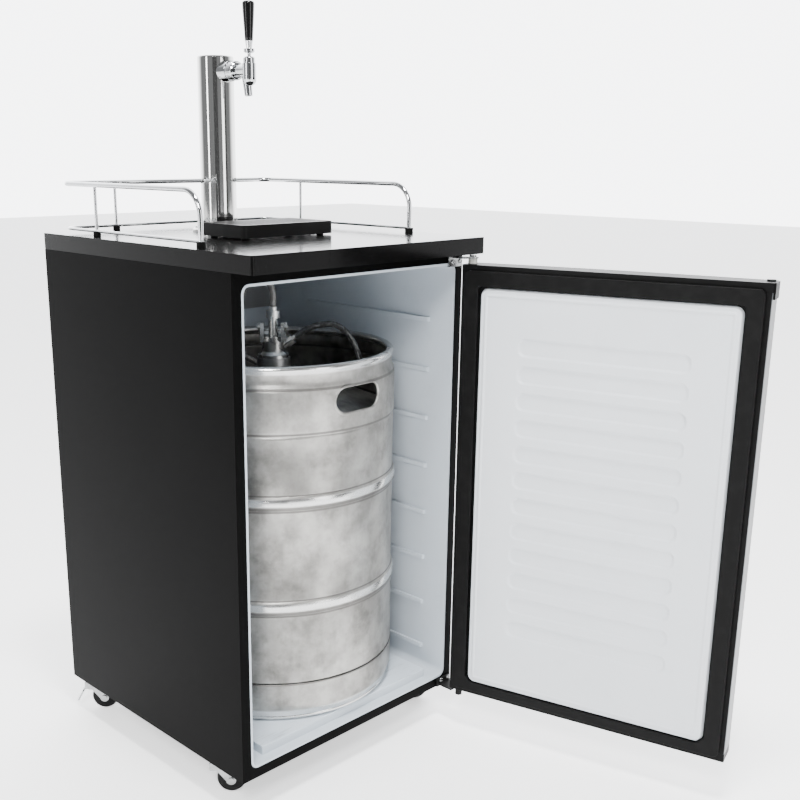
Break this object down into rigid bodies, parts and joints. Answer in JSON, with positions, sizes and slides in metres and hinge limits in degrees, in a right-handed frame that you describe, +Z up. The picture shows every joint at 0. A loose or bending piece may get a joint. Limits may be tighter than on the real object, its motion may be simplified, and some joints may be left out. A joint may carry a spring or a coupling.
{
  "type": "kegerator",
  "caption": "Insulated beer dispenser cabinet on casters with an open hinged door, a keg inside, and a tap tower, guard rail and drip tray on top.",
  "frame": {"origin": "on the floor, under the middle of the cabinet body", "axes": "+X to the right as seen from the front, +Y to the back, +Z up"},
  "size_m": [0.617, 1.0425, 1.231],
  "materials": {
    "cabinet_steel": "satin",
    "rear_steel": "satin",
    "liner_white": "satin",
    "foam": "matte",
    "worktop_black": "gloss",
    "floor_plate": "satin",
    "evaporator_aluminium": "satin",
    "housing_plastic": "matte",
    "condenser_black": "satin",
    "compressor_black": "satin",
    "black_plastic": "satin",
    "brass": "polished",
    "zinc": "satin",
    "hinge_black": "satin",
    "rail_chrome": "polished",
    "black_rubber": "matte",
    "tower_steel": "polished",
    "tap_chrome": "polished",
    "handle_black": "gloss",
    "clear_hose": "gloss",
    "door_grey": "satin",
    "nylon": "matte",
    "keg_steel": "satin",
    "keg_neck": "satin",
    "coupler_metal": "satin",
    "wheel_black": "matte"
  },
  "bodies": {
    "cabinet": {"outer_shell": "cabinet_steel", "rear_panel": "rear_steel", "base_pan": "rear_steel", "inner_liner": "liner_white", "cabinet_foam": "foam", "worktop": "worktop_black", "keg_floor_plate": "floor_plate", "evaporator_plate": "evaporator_aluminium", "thermostat_housing": "housing_plastic", "condenser_coil": "condenser_black", "compressor": "compressor_black", "power_inlet": "black_plastic", "gas_bulkhead": "brass", "upper_hinge": "zinc", "lower_hinge": "hinge_black", "screws": "zinc", "caster_plates": "zinc", "guard_rail": "rail_chrome", "rail_feet": "black_rubber", "tower_column": "tower_steel", "tower_cap": "tower_steel", "tower_flange": "tower_steel", "faucet_shank": "tap_chrome", "shank_clamp": "tap_chrome", "coupling_nut": "tap_chrome", "faucet_body": "tap_chrome", "faucet_bonnet": "tap_chrome", "beer_line": "clear_hose", "gas_line": "clear_hose", "keg_shell": "keg_steel", "keg_top_chime": "keg_steel", "keg_bottom_chime": "keg_steel", "keg_valve": "keg_neck", "coupler_body": "coupler_metal"},
    "door": {"door_skin": "door_grey", "door_foam": "foam", "door_frame": "black_plastic", "door_liner": "liner_white", "door_gasket": "black_rubber", "door_end_caps": "black_plastic", "door_bushes": "nylon"},
    "thermostat_dial": {"thermostat_knob": "housing_plastic"},
    "tap_lever": {"faucet_lever": "tap_chrome", "tap_handle": "handle_black"},
    "tap_shaft": {"faucet_shaft": "brass"},
    "tray": {"drip_tray": "black_plastic"},
    "tray_grid": {"drip_grid": "black_plastic"},
    "coupler_handle": {"coupler_lever": "coupler_metal"},
    "coupler_stem": {"coupler_probe": "coupler_metal"},
    "fork_rear_left": {"fork_rear_left": "zinc"},
    "wheel_rear_left": {"wheel_rear_left": "wheel_black"},
    "pedal_left": {"brake_pedal_left": "zinc"},
    "fork_rear_right": {"fork_rear_right": "zinc"},
    "wheel_rear_right": {"wheel_rear_right": "wheel_black"},
    "pedal_right": {"brake_pedal_right": "zinc"},
    "fork_front_left": {"fork_front_left": "zinc"},
    "wheel_front_left": {"wheel_front_left": "wheel_black"},
    "fork_front_right": {"fork_front_right": "zinc"},
    "wheel_front_right": {"wheel_front_right": "wheel_black"}
  },
  "joints": [
    {"name": "door_hinge", "type": "hinge", "parent": "cabinet", "child": "door", "pos_m": [0.2315, -0.281, 0.072], "axis": [0, 0, 1], "range_deg": [-105, 20]},
    {"name": "thermostat_turn", "type": "hinge", "parent": "cabinet", "child": "thermostat_dial", "pos_m": [-0.196, -0.154, 0.764], "axis": [1, 0, 0], "range_deg": [0, 270]},
    {"name": "tap_pull", "type": "hinge", "parent": "cabinet", "child": "tap_lever", "pos_m": [0, 0, 1.142], "axis": [1, 0, 0], "range_deg": [0, 25]},
    {"name": "tap_shaft_slide", "type": "slide", "parent": "cabinet", "child": "tap_shaft", "axis": [0, 1, 0], "range_m": [0, 0.006]},
    {"name": "tray_lift", "type": "slide", "parent": "cabinet", "child": "tray", "axis": [0, 0, 1], "range_m": [0, 0.06]},
    {"name": "grid_lift", "type": "slide", "parent": "tray", "child": "tray_grid", "axis": [0, 0, 1], "range_m": [0, 0.03]},
    {"name": "coupler_lever_swing", "type": "hinge", "parent": "cabinet", "child": "coupler_handle", "pos_m": [-0.00473, -0.05273, 0.723], "axis": [0.7071, -0.7071, 0], "range_deg": [0, 50]},
    {"name": "coupler_stem_slide", "type": "slide", "parent": "cabinet", "child": "coupler_stem", "axis": [0, 0, 1], "range_m": [0, 0.0168], "deforming": ["beer_line"]},
    {"name": "swivel_rear_left", "type": "hinge", "parent": "cabinet", "child": "fork_rear_left", "pos_m": [-0.219, 0.219, 0.055], "axis": [0, 0, 1], "continuous": true},
    {"name": "spin_rear_left", "type": "hinge", "parent": "fork_rear_left", "child": "wheel_rear_left", "pos_m": [-0.20486, 0.20486, 0.024], "axis": [0.7071, 0.7071, 0], "continuous": true},
    {"name": "brake_left", "type": "hinge", "parent": "fork_rear_left", "child": "pedal_left", "pos_m": [-0.22678, 0.22678, 0.046], "axis": [0.7071, 0.7071, 0], "range_deg": [0, 35]},
    {"name": "swivel_rear_right", "type": "hinge", "parent": "cabinet", "child": "fork_rear_right", "pos_m": [0.219, 0.219, 0.055], "axis": [0, 0, 1], "continuous": true},
    {"name": "spin_rear_right", "type": "hinge", "parent": "fork_rear_right", "child": "wheel_rear_right", "pos_m": [0.23314, 0.20486, 0.024], "axis": [0.7071, 0.7071, 0], "continuous": true},
    {"name": "brake_right", "type": "hinge", "parent": "fork_rear_right", "child": "pedal_right", "pos_m": [0.21122, 0.22678, 0.046], "axis": [0.7071, 0.7071, 0], "range_deg": [0, 35]},
    {"name": "swivel_front_left", "type": "hinge", "parent": "cabinet", "child": "fork_front_left", "pos_m": [-0.219, -0.157, 0.055], "axis": [0, 0, 1], "continuous": true},
    {"name": "spin_front_left", "type": "hinge", "parent": "fork_front_left", "child": "wheel_front_left", "pos_m": [-0.20486, -0.17114, 0.024], "axis": [0.7071, 0.7071, 0], "continuous": true},
    {"name": "swivel_front_right", "type": "hinge", "parent": "cabinet", "child": "fork_front_right", "pos_m": [0.219, -0.157, 0.055], "axis": [0, 0, 1], "continuous": true},
    {"name": "spin_front_right", "type": "hinge", "parent": "fork_front_right", "child": "wheel_front_right", "pos_m": [0.23314, -0.17114, 0.024], "axis": [0.7071, 0.7071, 0], "continuous": true}
  ],
  "couplings": [
    {"joint": "tap_shaft_slide", "follows": "tap_pull", "m_per_rad": 0.0135},
    {"joint": "coupler_stem_slide", "follows": "coupler_lever_swing", "m_per_rad": 0.0192}
  ]
}
